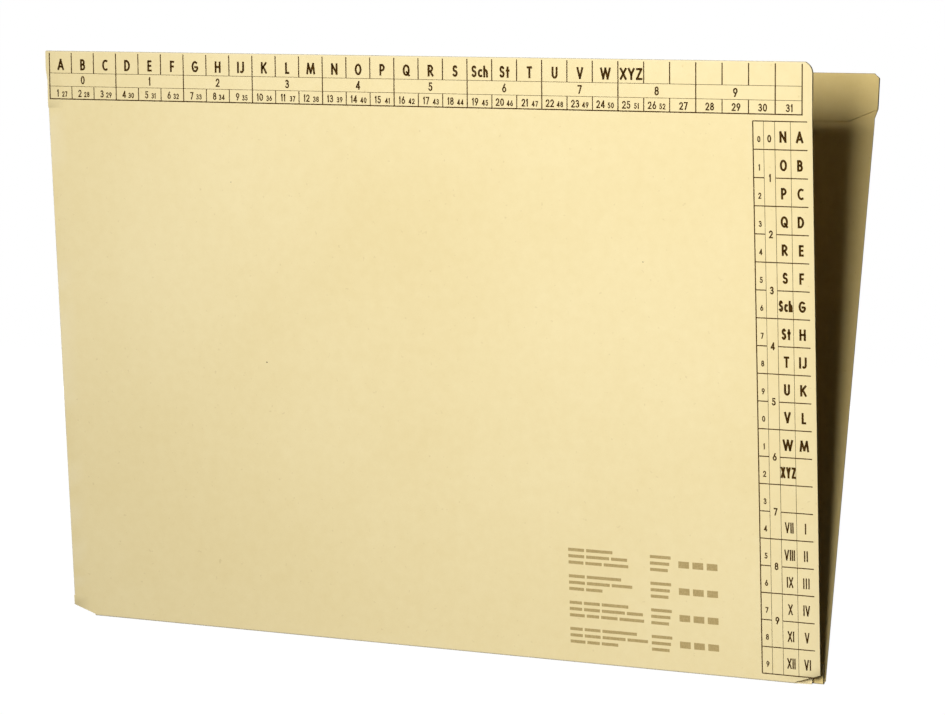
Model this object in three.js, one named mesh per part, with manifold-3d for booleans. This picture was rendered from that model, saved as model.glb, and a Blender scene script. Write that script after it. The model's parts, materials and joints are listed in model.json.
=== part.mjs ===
import * as THREE from 'three';
import { mergeVertices } from 'three/addons/utils/BufferGeometryUtils.js';
import Module from 'manifold-3d';

// Expanding file folder for A4 sheets lying on their side, folded and glued from one blank of manila
// card. It stands on its pleated bottom with the covers spread in a V, open at the top and at the
// right, with a folding gusset between the covers at the left.
// Millimetres. X runs along the covers, Y from the front cover to the back cover, Z up. The origin is
// the middle of the surface that the folder stands on.

// Card
const cardThickness = 0.5;
const foldRadius = 0.45;
const foldStep = 18;

// Covers
const coverWidth = 315;
const coverHeight = 222;
const backDrop = 1;
const backLean = 8.2;

// Hems: the top strip of each cover, turned over to the inside
const hemDepth = 18;
const hemFoldRadius = 0.5;
const hemSpring = 2.4;
const hemCornerWidth = 10;
const hemCornerHeight = 3.3;
const backHemBend = 5.3;

// Outline of the front cover
const frontCornerRadius = 4;
const frontEarWidth = 0.65;
const frontEarHeight = 6.5;
const frontEarTaper = 4.4;

// Outline of the back cover
const backEarWidth = 1.2;
const backEarHeight = 15.4;
const backEarTaper = 3.6;
const backEarCorner = 1.3;

// Pleated bottom
const baseStrip = 2;
const pleatLeg = 6;
const pleatHalfAngle = 3;
const frontLegSetback = 4;
const footCornerWidth = 9.5;
const footCornerHeight = 3.2;
const backFootCorner = 1.3;

// Gusset at the left
const gussetFoot = 7;
const gussetHeadGap = 2;
const gussetReach = 26;
const glueWidth = 14;
const glueTaper = 6;
const glueSink = 0.05;

// How far a trimming tool runs past the card that it cuts
const toolReach = 3;

const radians = THREE.MathUtils.degToRad;

const cardFinish = new THREE.MeshStandardMaterial({ color: 0xf3dfa6, roughness: 0.78, metalness: 0 });

const wasm = await Module();
wasm.setup();

function solidOf(geometry) {
  const plain = geometry.clone();
  plain.deleteAttribute('normal');
  plain.deleteAttribute('uv');
  const merged = mergeVertices(plain, 1e-5);
  return new wasm.Manifold(new wasm.Mesh({
    numProp: 3,
    vertProperties: new Float32Array(merged.attributes.position.array),
    triVerts: new Uint32Array(merged.index.array),
  }));
}

function geometryOf(solid) {
  const mesh = solid.getMesh();
  const geometry = new THREE.BufferGeometry();
  geometry.setAttribute('position', new THREE.BufferAttribute(mesh.vertProperties, 3));
  geometry.setIndex(new THREE.BufferAttribute(mesh.triVerts, 1));
  geometry.computeVertexNormals();
  return geometry;
}

function shapeOf(points) {
  return new THREE.Shape(points.map(([a, b]) => new THREE.Vector2(a, b)));
}

function extruded(shape, from, to, basis) {
  const geometry = new THREE.ExtrudeGeometry(shape, {
    depth: to - from,
    bevelEnabled: false,
    curveSegments: 8,
  });
  geometry.translate(0, 0, from);
  geometry.applyMatrix4(basis);
  return geometry;
}

// The centre line of the folded card, seen from the right: it runs straight and turns at the folds.
class FoldLine {
  constructor() {
    this.y = 0;
    this.z = 0;
    this.heading = 0;
    this.stations = [];
    this.keep();
  }

  keep() {
    this.stations.push({ y: this.y, z: this.z, heading: this.heading });
  }

  advance(length) {
    this.y += length * Math.cos(radians(this.heading));
    this.z += length * Math.sin(radians(this.heading));
  }

  run(length) {
    const start = { y: this.y, z: this.z, heading: this.heading };
    this.advance(length);
    this.keep();
    return start;
  }

  fold(angle, radius) {
    const steps = Math.ceil(Math.abs(angle) / foldStep);
    for (let step = 0; step < steps; step += 1) {
      const turn = angle / steps;
      this.heading += turn / 2;
      this.advance(2 * radius * Math.sin(radians(Math.abs(turn)) / 2));
      this.heading += turn / 2;
      this.keep();
    }
  }

  side(offset) {
    return this.stations.map(({ y, z, heading }) => [
      y - offset * Math.sin(radians(heading)),
      z + offset * Math.cos(radians(heading)),
    ]);
  }
}

// One half of the section, from the tip of the bottom pleat out to the free edge of the hem.
function halfSection(height, lean, hemBend) {
  const line = new FoldLine();
  line.fold(pleatHalfAngle - 90, foldRadius);
  line.run(pleatLeg);
  line.fold(90 - pleatHalfAngle, foldRadius);
  line.run(baseStrip);
  line.fold(90 - lean, foldRadius);
  const cover = line.run(height - hemDepth);
  line.fold(hemBend, foldRadius);
  line.run(hemDepth);
  line.fold(180 - hemSpring, hemFoldRadius);
  const flap = line.run(hemDepth);
  return {
    inside: line.side(cardThickness / 2),
    outside: line.side(-cardThickness / 2),
    cover,
    flap,
  };
}

// The back cover ends a little lower than the front one.
const frontHeight = coverHeight;
const backHeight = coverHeight - backDrop;

// Both covers reach out equally far from the bottom, so that the folder balances on it.
const backOverhang = (backHeight - hemDepth) * Math.sin(radians(backLean))
  + hemDepth * Math.sin(radians(backLean - backHemBend));
const frontLean = THREE.MathUtils.radToDeg(Math.asin(backOverhang / frontHeight));

const front = halfSection(frontHeight, frontLean, 0);
const back = halfSection(backHeight, backLean, backHemBend);

function foldedSection() {
  const mirrored = (points) => points.map(([y, z]) => [-y, z]);
  return shapeOf([
    ...back.inside,
    ...back.outside.toReversed(),
    ...mirrored(front.outside).slice(1),
    ...mirrored(front.inside).toReversed().slice(0, -1),
  ]);
}

// Frames of the flat panels: u along X from the middle, s up the panel, n square to it. On the front
// cover n points out of the folder, and on the back cover n points into it.
function panelBasis({ y, z, heading }, sideSign) {
  const up = new THREE.Vector3(0, sideSign * Math.cos(radians(heading)), Math.sin(radians(heading)));
  const along = new THREE.Vector3(1, 0, 0);
  const normal = new THREE.Vector3().crossVectors(along, up);
  return new THREE.Matrix4().makeBasis(along, up, normal).setPosition(0, sideSign * y, z);
}

const frontPanel = panelBasis(front.cover, -1);
const backPanel = panelBasis(back.cover, 1);
const frontFlap = panelBasis(front.flap, -1);
const backFlap = panelBasis(back.flap, 1);

const halfWidth = coverWidth / 2;
const blankHalfWidth = halfWidth + backEarWidth;
const toolWidth = blankHalfWidth + toolReach;
const toolTop = Math.max(frontHeight, backHeight) + toolReach;

// Everything right of the front cover's edge, and what its rounded upper corner leaves out.
function frontRightTool() {
  const shape = new THREE.Shape();
  const topEdge = frontHeight + hemFoldRadius + cardThickness / 2;
  shape.moveTo(halfWidth - footCornerWidth, -toolReach);
  shape.lineTo(toolWidth, -toolReach);
  shape.lineTo(toolWidth, toolTop);
  shape.lineTo(halfWidth - frontCornerRadius, toolTop);
  shape.lineTo(halfWidth - frontCornerRadius, topEdge);
  shape.absarc(
    halfWidth - frontCornerRadius,
    topEdge - frontCornerRadius,
    frontCornerRadius,
    Math.PI / 2,
    0,
    true,
  );
  shape.lineTo(halfWidth, footCornerHeight);
  shape.lineTo(halfWidth - footCornerWidth, 0);
  return shape;
}

function frontLeftTool() {
  const earFoot = frontHeight - frontEarHeight;
  return shapeOf([
    [footCornerWidth - halfWidth, -toolReach],
    [footCornerWidth - halfWidth, 0],
    [-halfWidth, footCornerHeight],
    [-halfWidth, earFoot - frontEarTaper],
    [-halfWidth - frontEarWidth, earFoot],
    [-halfWidth - frontEarWidth, toolTop],
    [-toolWidth, toolTop],
    [-toolWidth, -toolReach],
  ]);
}

function backSideTool(side, footWidth, footHeight) {
  const earFoot = backHeight - backEarHeight;
  return shapeOf([
    [side * (halfWidth - footWidth), -toolReach],
    [side * (halfWidth - footWidth), 0],
    [side * halfWidth, footHeight],
    [side * halfWidth, earFoot - backEarTaper],
    [side * blankHalfWidth, earFoot],
    [side * toolWidth, earFoot],
    [side * toolWidth, -toolReach],
  ]);
}

function backEarTool(side) {
  return shapeOf([
    [side * (blankHalfWidth - backEarCorner), toolTop],
    [side * (blankHalfWidth - backEarCorner), backHeight],
    [side * blankHalfWidth, backHeight - backEarCorner],
    [side * toolWidth, backHeight - backEarCorner],
    [side * toolWidth, toolTop],
  ]);
}

// The front leg of the pleat ends short of the open end.
function frontLegTool() {
  const pleatFoot = -pleatLeg - 2 * foldRadius - toolReach;
  return shapeOf([
    [halfWidth - frontLegSetback, pleatFoot],
    [toolWidth, pleatFoot],
    [toolWidth, toolReach],
    [halfWidth - frontLegSetback, toolReach],
  ]);
}

function flapCornerTool(side) {
  return shapeOf([
    [side * toolWidth, hemDepth - hemCornerHeight],
    [side * halfWidth, hemDepth - hemCornerHeight],
    [side * (halfWidth - hemCornerWidth), hemDepth],
    [side * (halfWidth - hemCornerWidth), hemDepth + toolReach],
    [side * toolWidth, hemDepth + toolReach],
  ]);
}

// How far the tools cut through the layers of card, square to the panel
const throughCover = hemFoldRadius * 2 + hemDepth * Math.sin(radians(hemSpring)) + cardThickness;
const throughBase = 2 * (front.cover.y + toolReach);
const betweenHemLayers = hemFoldRadius
  + (hemDepth - hemCornerHeight) * Math.sin(radians(hemSpring)) / 2;
const throughFrontLeg = 2 * foldRadius + pleatLeg * Math.sin(radians(pleatHalfAngle));

const uprightBasis = new THREE.Matrix4().makeBasis(
  new THREE.Vector3(1, 0, 0),
  new THREE.Vector3(0, 0, 1),
  new THREE.Vector3(0, -1, 0),
);

const tools = [
  extruded(frontRightTool(), -throughCover, toolReach, frontPanel),
  extruded(frontLeftTool(), -throughCover, toolReach, frontPanel),
  extruded(backSideTool(1, backFootCorner, backFootCorner), -toolReach, throughBase, backPanel),
  extruded(backSideTool(-1, footCornerWidth, footCornerHeight), -toolReach, throughBase, backPanel),
  extruded(frontLegTool(), 0, throughFrontLeg, uprightBasis),
];
for (const side of [-1, 1]) {
  tools.push(extruded(backEarTool(side), -toolReach, throughBase, backPanel));
  tools.push(extruded(flapCornerTool(side), -betweenHemLayers, toolReach, frontFlap));
  tools.push(extruded(flapCornerTool(side), -toolReach, betweenHemLayers, backFlap));
}

const sectionBasis = new THREE.Matrix4().makeBasis(
  new THREE.Vector3(0, 1, 0),
  new THREE.Vector3(0, 0, 1),
  new THREE.Vector3(1, 0, 0),
);

function trimmedCovers() {
  const blank = extruded(foldedSection(), -blankHalfWidth, blankHalfWidth, sectionBasis);
  return tools.reduce((solid, tool) => solid.subtract(solidOf(tool)), solidOf(blank));
}

// A flat facet of card with the given corners on its middle plane.
function facet(corners) {
  const along = corners[1].clone().sub(corners[0]).normalize();
  const toward = corners[corners.length - 1].clone().sub(corners[0]);
  const normal = new THREE.Vector3().crossVectors(along, toward).normalize();
  const across = new THREE.Vector3().crossVectors(normal, along);
  const basis = new THREE.Matrix4().makeBasis(along, across, normal).setPosition(corners[0]);
  const points = corners.map((corner) => {
    const arm = corner.clone().sub(corners[0]);
    return [arm.dot(along), arm.dot(across)];
  });
  return extruded(shapeOf(points), -cardThickness / 2, cardThickness / 2, basis);
}

// The rounded back of a crease, which closes the wedge between two facets.
function crease(start, end) {
  const arm = end.clone().sub(start);
  const rod = new THREE.CylinderGeometry(cardThickness / 2, cardThickness / 2, arm.length(), 12);
  rod.applyQuaternion(
    new THREE.Quaternion().setFromUnitVectors(new THREE.Vector3(0, 1, 0), arm.clone().normalize()),
  );
  const middle = start.clone().add(end).multiplyScalar(0.5);
  rod.translate(middle.x, middle.y, middle.z);
  return rod;
}

// The gusset: two facets that meet in a crease pointing into the folder, and a strip along the rear
// one that is glued to the inside of the back cover. The lines of all the creases meet in one point
// below the folder, so that every facet stays flat.
function gusset() {
  const gussetHead = Math.min(frontHeight, backHeight) - hemDepth - gussetHeadGap;
  const onFront = (s) => new THREE.Vector3(cardThickness / 2 - halfWidth, s, 0)
    .applyMatrix4(frontPanel);
  const onBack = (s, inset = 0) => new THREE.Vector3(
    cardThickness / 2 - halfWidth + inset,
    s,
    cardThickness - glueSink,
  ).applyMatrix4(backPanel);

  const frontFoot = onFront(gussetFoot);
  const frontHead = onFront(gussetHead);
  const backFoot = onBack(gussetFoot);
  const backHead = onBack(gussetHead);
  const spreadAtFoot = backFoot.distanceTo(frontFoot);
  const spreadAtHead = backHead.distanceTo(frontHead);
  const middleHead = frontHead.clone().add(backHead).multiplyScalar(0.5);
  const middleFoot = frontFoot.clone().add(backFoot).multiplyScalar(0.5);
  middleHead.x += gussetReach;
  middleFoot.x += gussetReach * (spreadAtFoot / spreadAtHead);

  return [
    facet([frontFoot, frontHead, middleHead, middleFoot]),
    facet([backFoot, backHead, middleHead, middleFoot]),
    facet([
      backFoot,
      backHead,
      onBack(gussetHead - glueTaper, glueWidth),
      onBack(gussetFoot + glueTaper, glueWidth),
    ]),
    crease(frontFoot, frontHead),
    crease(middleFoot, middleHead),
    crease(backFoot, backHead),
  ];
}

function folderGeometry() {
  const solid = gusset().reduce((sum, piece) => sum.add(solidOf(piece)), trimmedCovers());
  const geometry = geometryOf(solid);
  geometry.computeBoundingBox();
  const { min, max } = geometry.boundingBox;
  geometry.translate(-(min.x + max.x) / 2, -(min.y + max.y) / 2, -min.z);
  return geometry;
}

const folder = new THREE.Group();
const card = new THREE.Mesh(folderGeometry(), cardFinish);
card.name = 'folder_card';
folder.add(card);

export default folder;
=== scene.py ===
"""Expanding file folder for A4 sheets, folded and glued from one blank of manila card.

The folder stands on its pleated bottom with the covers spread in a V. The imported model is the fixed
frame. The card is modelled again as one thin sheet that turns at the same folds, and the index is
printed on the front cover. Sizes are millimetres, and a point is turned to metres where it is placed.
"""

import json
import logging
import math
from collections.abc import Callable, Sequence
from dataclasses import dataclass, field
from enum import Enum

import bpy
from mathutils import Matrix, Vector

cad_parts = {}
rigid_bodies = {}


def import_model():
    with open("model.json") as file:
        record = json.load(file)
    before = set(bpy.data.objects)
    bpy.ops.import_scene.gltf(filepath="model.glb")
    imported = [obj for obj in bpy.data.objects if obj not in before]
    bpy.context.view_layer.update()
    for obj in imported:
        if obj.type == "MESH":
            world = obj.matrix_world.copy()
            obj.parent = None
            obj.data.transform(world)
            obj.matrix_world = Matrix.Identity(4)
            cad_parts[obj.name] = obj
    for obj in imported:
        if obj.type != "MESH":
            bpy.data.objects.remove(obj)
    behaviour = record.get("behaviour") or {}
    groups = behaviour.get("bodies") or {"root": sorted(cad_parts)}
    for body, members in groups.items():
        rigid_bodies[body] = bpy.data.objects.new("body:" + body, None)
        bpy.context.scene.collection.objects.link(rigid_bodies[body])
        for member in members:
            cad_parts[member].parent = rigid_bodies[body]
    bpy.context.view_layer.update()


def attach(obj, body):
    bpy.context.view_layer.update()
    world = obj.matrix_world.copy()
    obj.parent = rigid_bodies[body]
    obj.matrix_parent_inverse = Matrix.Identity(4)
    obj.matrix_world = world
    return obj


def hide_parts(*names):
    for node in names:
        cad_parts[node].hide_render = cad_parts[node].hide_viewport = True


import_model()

MM = 0.001
CARD_NODE = "folder_card"
LOG = logging.getLogger("folder")
FOLD_END_WEAR = 0.35

Pair = tuple[float, float]
Triple = tuple[float, float, float]
Colour = tuple[float, float, float, float]


class Cover(Enum):
    """The two covers, by the side of the middle plane that they lie on."""

    FRONT = -1
    BACK = 1


class Hand(Enum):
    """The two ends of a row across the card."""

    LEFT = -1
    RIGHT = 1


def radial(angle: float) -> Pair:
    """Return the cosine and the sine of an angle in degrees."""
    return math.cos(math.radians(angle)), math.sin(math.radians(angle))


def between(points: Sequence[Pair], at: float) -> float:
    """Read a broken line.

    Args:
        points: Its corners, each a place and a value, in the order of their places.
        at: The place where it is read.

    Returns:
        The value there, or the value of the nearer end outside the line.
    """
    if at <= points[0][0]:
        return points[0][1]
    for (start, low), (end, high) in zip(points, points[1:]):
        if at <= end:
            return low + (high - low) * (at - start) / (end - start)
    return points[-1][1]


def select_only(*objects: bpy.types.Object) -> None:
    """Select these objects and nothing else, and make the first one active."""
    if bpy.context.object and bpy.context.object.mode != "OBJECT":
        bpy.ops.object.mode_set(mode="OBJECT")
    for other in bpy.context.view_layer.objects:
        other.select_set(False)
    for thing in objects:
        thing.select_set(True)
    bpy.context.view_layer.objects.active = objects[0] if objects else None


def joined(name: str, objects: Sequence[bpy.types.Object]) -> bpy.types.Object:
    """Join mesh objects into one.

    Args:
        name: The name of the joined piece and of its mesh.
        objects: The meshes, of which the first takes in the others.

    Returns:
        The joined object.
    """
    select_only(*objects)
    if len(objects) > 1:
        bpy.ops.object.join()
    piece = bpy.context.object
    piece.name = name
    piece.data.name = name
    return piece


def apply_modifier(piece: bpy.types.Object, kind: str, **settings: float | bool | str) -> None:
    """Add a modifier to a piece, set it and apply it.

    Args:
        piece: The mesh object.
        kind: The type of the modifier, as Blender names it.
        **settings: Its properties.
    """
    select_only(piece)
    modifier = piece.modifiers.new(kind.title(), kind)
    for key, value in settings.items():
        setattr(modifier, key, value)
    bpy.ops.object.modifier_apply(modifier=modifier.name)


def face_outwards(piece: bpy.types.Object, merge: float = 0.0) -> None:
    """Merge doubled vertices, if asked, and turn all faces the same way, outwards.

    Args:
        piece: The mesh object.
        merge: The distance in metres within which vertices are merged, or 0.
    """
    select_only(piece)
    bpy.ops.object.mode_set(mode="EDIT")
    bpy.ops.mesh.select_all(action="SELECT")
    if merge:
        bpy.ops.mesh.remove_doubles(threshold=merge)
    bpy.ops.mesh.normals_make_consistent(inside=False)
    bpy.ops.object.mode_set(mode="OBJECT")


@dataclass
class Station:
    """One row across the card: where it lies in the section, and on which part of the card.

    Attributes:
        out: Distance from the middle plane.
        up: Height above the tip of the pleat.
        heading: Direction of the card here, in degrees from level.
        height: Distance up the cover from its foot, below 0 on the bottom.
        flap: Distance from the hem's fold on the turned-in flap, or -1 elsewhere.
        length: Length of card from the tip of the pleat.
        crease: How much the card is worn here, from 0 on the flat to 1 on a fold.
    """

    out: float
    up: float
    heading: float
    height: float
    flap: float
    length: float
    crease: float


@dataclass
class FoldLine:
    """The middle of the card seen from the right, drawn step by step from the pleat's tip."""

    step: float = 12.0
    spacing: float = 8.0
    out: float = 0.0
    up: float = 0.0
    heading: float = 0.0
    length: float = 0.0
    stations: list[Station] = field(default_factory=list)

    def keep(self, height: float, flap: float, crease: float) -> None:
        """Record a row at the present place."""
        here = (self.out, self.up, self.heading, height, flap, self.length, crease)
        self.stations.append(Station(*here))

    def advance(self, distance: float) -> None:
        """Move on along the present direction."""
        cosine, sine = radial(self.heading)
        self.out += distance * cosine
        self.up += distance * sine
        self.length += distance

    def run(self, distance: float, start: float, breaks: Sequence[float] = (), flap: bool = False) -> None:
        """Draw a flat stretch of card.

        Args:
            distance: Its length.
            start: Height on the cover, or distance along the flap, where it begins.
            breaks: Further places, in the same measure, that need a row of their own.
            flap: True on the turned-in flap.
        """
        count = max(1, math.ceil(distance / self.spacing))
        regular = [distance * step / count for step in range(1, count + 1)]
        named = [at - start for at in breaks if 0.05 < at - start < distance - 0.05]
        clear = [at for at in regular[:-1] if all(abs(at - mark) > 1.5 for mark in named)]
        done = 0.0
        for at in sorted([*named, *clear, distance]):
            self.advance(at - done)
            done = at
            if flap:
                self.keep(self.stations[-1].height, start + at, 0.0)
            else:
                self.keep(start + at, -1.0, 0.0)

    def fold(self, angle: float, radius: float, height: float, crease: float = 1.0) -> None:
        """Turn the card by an angle round a fold.

        Args:
            angle: The turn in degrees. A turn of more than a right angle makes the upper edge.
            radius: Radius of the middle of the card in the fold.
            height: Height on the cover of the fold's start.
            crease: How much the card is worn there.
        """
        count = math.ceil(abs(angle) / self.step)
        turn = angle / count
        crown = radius if angle > 90 else 0.0
        for index in range(1, count + 1):
            self.heading += turn / 2
            self.advance(2 * radius * math.sin(math.radians(abs(turn)) / 2))
            self.heading += turn / 2
            risen = height + crown * max(0.0, radial(turn * index)[1])
            self.keep(risen, -1.0, FOLD_END_WEAR * crease if index == count else crease)


@dataclass
class FolderCard:
    """The folded card: both covers with their hems, the pleated bottom and the gusset."""

    thickness: float = 0.5
    fold_radius: float = 0.45
    width: float = 315.0
    front_height: float = 222.5
    back_height: float = 221.13
    front_lean: float = 7.885
    back_lean: float = 8.67
    front_hem_depth: float = 18.3
    back_hem_depth: float = 18.1
    flap_margin: float = 0.9
    hem_radius: float = 0.32
    hem_pressed: float = 0.35
    front_hem_bend: float = 3.0
    back_hem_bend: float = 5.6
    hem_corner: Pair = (10.0, 4.1)
    front_base_strip: float = 1.4
    back_base_strip: float = 0.3
    pleat_leg: float = 6.0
    pleat_half_angle: float = 3.0
    front_leg_setback: float = 4.0
    foot_corner: Pair = (9.5, 3.2)
    back_foot_corner: float = 0.4
    front_corner_radius: float = 4.0
    front_ear: Triple = (0.65, 6.5, 4.4)
    back_ear: Triple = (1.2, 12.43, 3.4)
    back_ear_corner: Pair = (1.9, 1.4)
    gusset_foot: float = 7.0
    gusset_head_gap: float = 2.0
    gusset_reach: float = 26.0
    gusset_fold: float = 0.3
    glue_width: float = 14.0
    glue_taper: float = 6.0
    glue_film: float = 0.04
    columns: int = 40
    edge_rows: tuple[float, ...] = (0.3, 0.7, 1.2, 1.8, 2.4, 3.25)
    notch: float = 0.1
    least_glue: float = 1.2
    gusset_steps: int = 9
    edge_round: float = 0.06
    weld: float = 0.02
    heights: dict[Cover, float] = field(init=False)
    hem_depths: dict[Cover, float] = field(init=False)
    strips: dict[Cover, float] = field(init=False)
    halves: dict[Cover, list[Station]] = field(init=False)
    tip_height: float = field(init=False)
    outlines: dict[tuple[Cover, Hand], list[Pair]] = field(init=False)

    def __post_init__(self) -> None:
        """Work out both halves of the section, the pleat's height and the outlines."""
        self.heights = {Cover.FRONT: self.front_height, Cover.BACK: self.back_height}
        self.hem_depths = {Cover.FRONT: self.front_hem_depth, Cover.BACK: self.back_hem_depth}
        self.strips = {Cover.FRONT: self.front_base_strip, Cover.BACK: self.back_base_strip}
        self.halves = {
            Cover.FRONT: self.half(Cover.FRONT, self.front_lean, self.front_hem_bend),
            Cover.BACK: self.half(Cover.BACK, self.back_lean, self.back_hem_bend),
        }
        lowest = min(s.up for half in self.halves.values() for s in half)
        self.tip_height = self.thickness / 2 - lowest
        hands = [(cover, hand) for cover in Cover for hand in Hand]
        self.outlines = {pair: self.outline(*pair) for pair in hands}

    @property
    def gusset_head(self) -> float:
        """Height of the gusset's upper edge on the covers."""
        creases = [self.heights[cover] - self.hem_depths[cover] for cover in Cover]
        return min(creases) - self.gusset_head_gap

    def breaks(self, height: float) -> list[float]:
        """Return the heights on a cover, of that height, that need a row of their own."""
        foot, head = self.gusset_foot, self.gusset_head
        marks = [self.back_foot_corner, self.foot_corner[1]]
        marks += [foot - self.notch, foot, foot + self.glue_taper]
        marks += [head - self.glue_taper, head, head + self.notch]
        for _, ear_height, ear_taper in (self.front_ear, self.back_ear):
            marks += [height - ear_height - ear_taper, height - ear_height]
        marks += [height - drop for drop in self.edge_rows]
        return marks

    def half(self, cover: Cover, lean: float, bend: float) -> list[Station]:
        """Draw one half of the section.

        Args:
            cover: The cover that it belongs to.
            lean: How far the cover leans out, in degrees.
            bend: How far its upper strip is bent back up, in degrees.

        Returns:
            The rows from the tip of the pleat to the free edge of the hem's flap.
        """
        line = FoldLine()
        height, depth, foot = self.heights[cover], self.hem_depths[cover], -self.strips[cover]
        line.keep(foot - self.pleat_leg, -1.0, 1.0)
        line.fold(self.pleat_half_angle - 90, self.fold_radius, foot - self.pleat_leg)
        line.run(self.pleat_leg, foot - self.pleat_leg)
        line.fold(90 - self.pleat_half_angle, self.fold_radius, foot)
        line.run(self.strips[cover], foot)
        line.fold(90 - lean, self.fold_radius, 0.0)
        marks = self.breaks(height)
        line.run(height - depth, 0.0, marks)
        line.fold(bend, self.fold_radius, height - depth, 0.4)
        line.run(depth, height - depth, marks)
        line.fold(180 + self.hem_pressed, self.hem_radius, height)
        free = depth - self.flap_margin
        corner = free - self.hem_corner[1]
        line.run(free, 0.0, [*self.edge_rows, corner - self.notch, corner], flap=True)
        return line.stations

    def outline(self, cover: Cover, hand: Hand) -> list[Pair]:
        """Return one side of a cover's outline, as heights and distances from the middle."""
        half = self.width / 2
        foot_width, foot_height = self.foot_corner
        if hand is Hand.RIGHT and cover is Cover.FRONT:
            radius = self.front_corner_radius
            top = self.front_height + self.hem_radius + self.thickness / 2
            leg = (-self.front_base_strip, half - self.front_leg_setback)
            side = [leg, (0.0, half - foot_width), (foot_height, half)]
            for angle in range(0, 91, 9):
                cosine, sine = radial(angle)
                side.append((top - radius + radius * sine, half - radius + radius * cosine))
            return side
        if hand is Hand.LEFT and cover is Cover.FRONT:
            ear, ear_height, ear_taper = self.front_ear
            foot = self.front_height - ear_height
            fold = half - self.thickness / 2 - self.gusset_fold
            joint = [
                (self.gusset_foot - self.notch, half),
                (self.gusset_foot, fold),
                (self.gusset_head, fold),
                (self.gusset_head + self.notch, half),
            ]
            side = [(0.0, half - foot_width), (foot_height, half), *joint]
            return [*side, (foot - ear_taper, half), (foot, half + ear)]
        ear, ear_height, ear_taper = self.back_ear
        foot = self.back_height - ear_height
        side = [(0.0, half - foot_width), (foot_height, half)]
        if hand is Hand.RIGHT:
            side = [(0.0, half - self.back_foot_corner), (self.back_foot_corner, half)]
        side += [(foot - ear_taper, half), (foot, half + ear)]
        cut, drop = self.back_ear_corner
        top = self.back_height + self.hem_radius
        return [*side, (top - drop, half + ear), (top, half + ear - cut)]

    def reach(self, cover: Cover, hand: Hand, row: Station) -> float:
        """Return how far a row reaches from the middle, on one hand."""
        sides = self.outlines[cover, hand]
        if row.flap < 0:
            return between(sides, row.height)
        half = self.width / 2
        width, height = self.hem_corner
        depth = self.hem_depths[cover] - self.flap_margin
        corner = [
            (depth - height - self.notch, half + 2.0),
            (depth - height, half),
            (depth, half - width),
        ]
        return min(between(sides, self.heights[cover] - row.flap), between(corner, row.flap))

    def placed(self, cover: Cover, x: float, row: Station, lift: float = 0.0) -> Vector:
        """Place a point of the card in the scene.

        Args:
            cover: The half of the card that it lies on.
            x: Its distance along the covers from the middle.
            row: Its row.
            lift: Its distance from the middle of the card, towards the outside of the folder.

        Returns:
            The point in metres.
        """
        cosine, sine = radial(row.heading)
        out = row.out + lift * sine
        up = row.up + self.tip_height - lift * cosine
        return Vector((x, cover.value * out, up)) * MM

    def rows(self) -> list[tuple[Cover, Station]]:
        """Return all rows from the free edge of the back flap to that of the front flap."""
        back = [(Cover.BACK, row) for row in reversed(self.halves[Cover.BACK])]
        front = [(Cover.FRONT, row) for row in self.halves[Cover.FRONT][1:]]
        return back + front

    def sheet(
        self,
        name: str,
        columns: int,
        rows: int,
        shape: Callable[[int, int], tuple[Vector, Pair, float]],
    ) -> bpy.types.Object:
        """Lay out a grid of card and fold it.

        Args:
            name: The name of the object.
            columns: Number of columns of vertices.
            rows: Number of rows of vertices.
            shape: Gives the place, the place on the flat blank and the wear for a column and a row.

        Returns:
            The sheet, without thickness.
        """
        select_only()
        bpy.ops.mesh.primitive_grid_add(
            x_subdivisions=columns - 1,
            y_subdivisions=rows - 1,
            size=2,
            calc_uvs=True,
        )
        piece = bpy.context.object
        piece.name = name
        mesh = piece.data
        wear = mesh.attributes.new("crease", "FLOAT", "POINT")
        flat = []
        for vertex in mesh.vertices:
            column = round((vertex.co.x + 1) / 2 * (columns - 1))
            row = round((vertex.co.y + 1) / 2 * (rows - 1))
            place, spot, worn = shape(column, row)
            vertex.co = place
            wear.data[vertex.index].value = worn
            flat.append(spot)
        uv = mesh.uv_layers[0]
        uv.name = "blank"
        for loop in mesh.loops:
            uv.data[loop.index].uv = flat[loop.vertex_index]
        return piece

    def covers(self) -> bpy.types.Object:
        """Fold the strip of card that makes the flaps, the covers and the bottom."""
        rows = self.rows()

        def shape(column: int, index: int) -> tuple[Vector, Pair, float]:
            """Return the place, the place on the blank and the wear of one vertex."""
            cover, row = rows[index]
            left = -self.reach(cover, Hand.LEFT, row)
            right = self.reach(cover, Hand.RIGHT, row)
            x = left + (right - left) * column / self.columns
            spot = (x * MM, cover.value * row.length * MM)
            return self.placed(cover, x, row), spot, row.crease

        return self.sheet("covers", self.columns + 1, len(rows), shape)

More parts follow.
